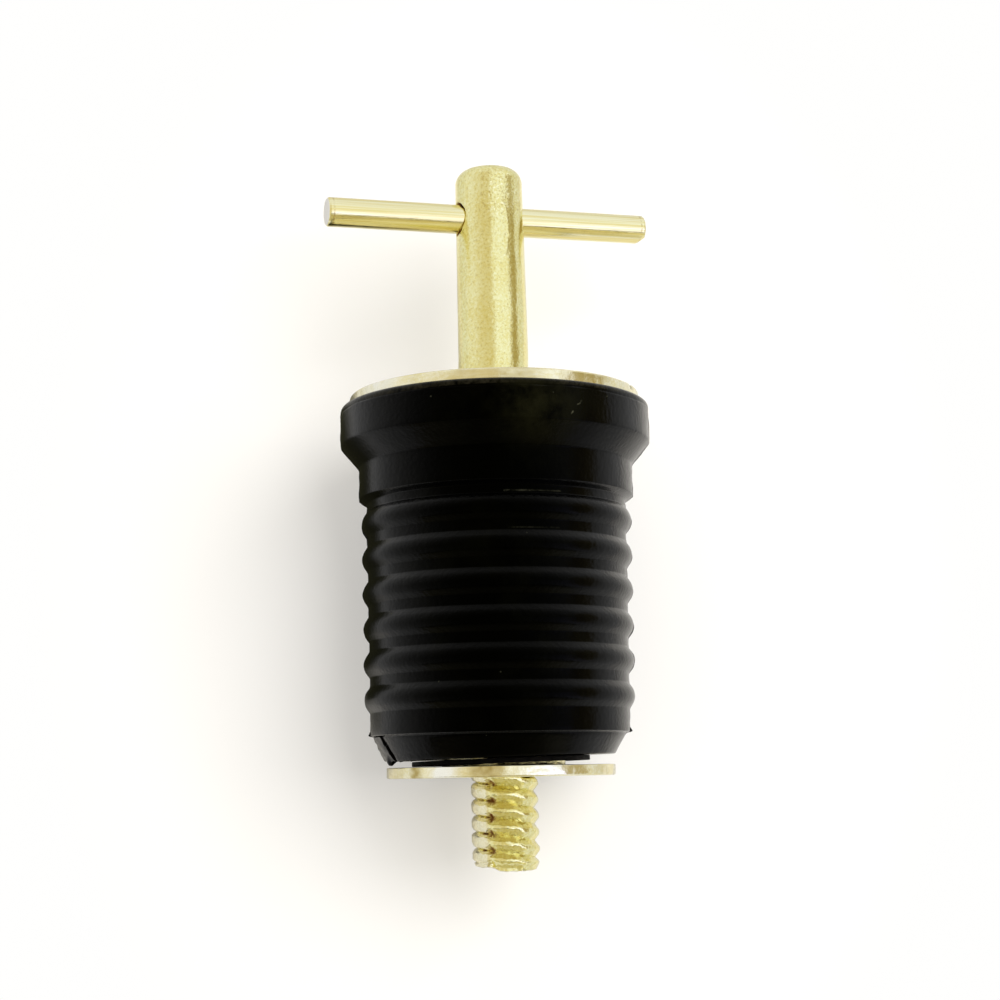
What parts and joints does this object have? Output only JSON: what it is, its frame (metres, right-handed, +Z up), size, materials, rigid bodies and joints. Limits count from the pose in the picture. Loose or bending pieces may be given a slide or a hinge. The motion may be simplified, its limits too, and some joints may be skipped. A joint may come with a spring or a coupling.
{
  "type": "screw plug",
  "caption": "Expanding screw plug: a brass T handle and threaded stud draw a plate against a ribbed rubber body with a flared rim, which shortens and grips a drain tube.",
  "frame": {"origin": "on the surface that the plug lies on, under the middle of its bounding box", "axes": "+Z up from the surface; +Y along the plug towards the T handle, whose axis rises by about five degrees; +X to the right seen from the stud's end"},
  "size_m": [0.0314, 0.0676, 0.0296],
  "materials": {
    "rubber": "satin, moulded",
    "sheet_brass": "bright, stamped",
    "fibre": "matt",
    "cast_brass": "glossy, as cast with a fine orange peel",
    "drawn_brass": "glossy, drawn lengthwise"
  },
  "bodies": {
    "bung": {"rubber_plug": "rubber", "top_washer": "sheet_brass"},
    "handle": {"spindle": "cast_brass", "cross_bar": "drawn_brass"},
    "washer": {"friction_washer": "fibre"},
    "plate": {"bottom_plate": "sheet_brass"}
  },
  "joints": [
    {"name": "handle_turn", "type": "hinge", "parent": "bung", "child": "handle", "pos_m": [0.00006, 0.01072, 0.01505], "axis": [0, 0.9964, 0.0848], "range_deg": [0, 960]},
    {"name": "squeeze", "type": "slide", "parent": "bung", "child": "washer", "axis": [0, 0.9964, 0.0848], "range_m": [0, 0.004], "deforming": ["rubber_plug"]},
    {"name": "plate_back_off", "type": "slide", "parent": "washer", "child": "plate", "axis": [0, 0.9964, 0.0848], "range_m": [-0.0035, 0]}
  ],
  "couplings": [
    {"joint": "squeeze", "follows": "handle_turn", "m_per_rad": 0.00023873}
  ]
}
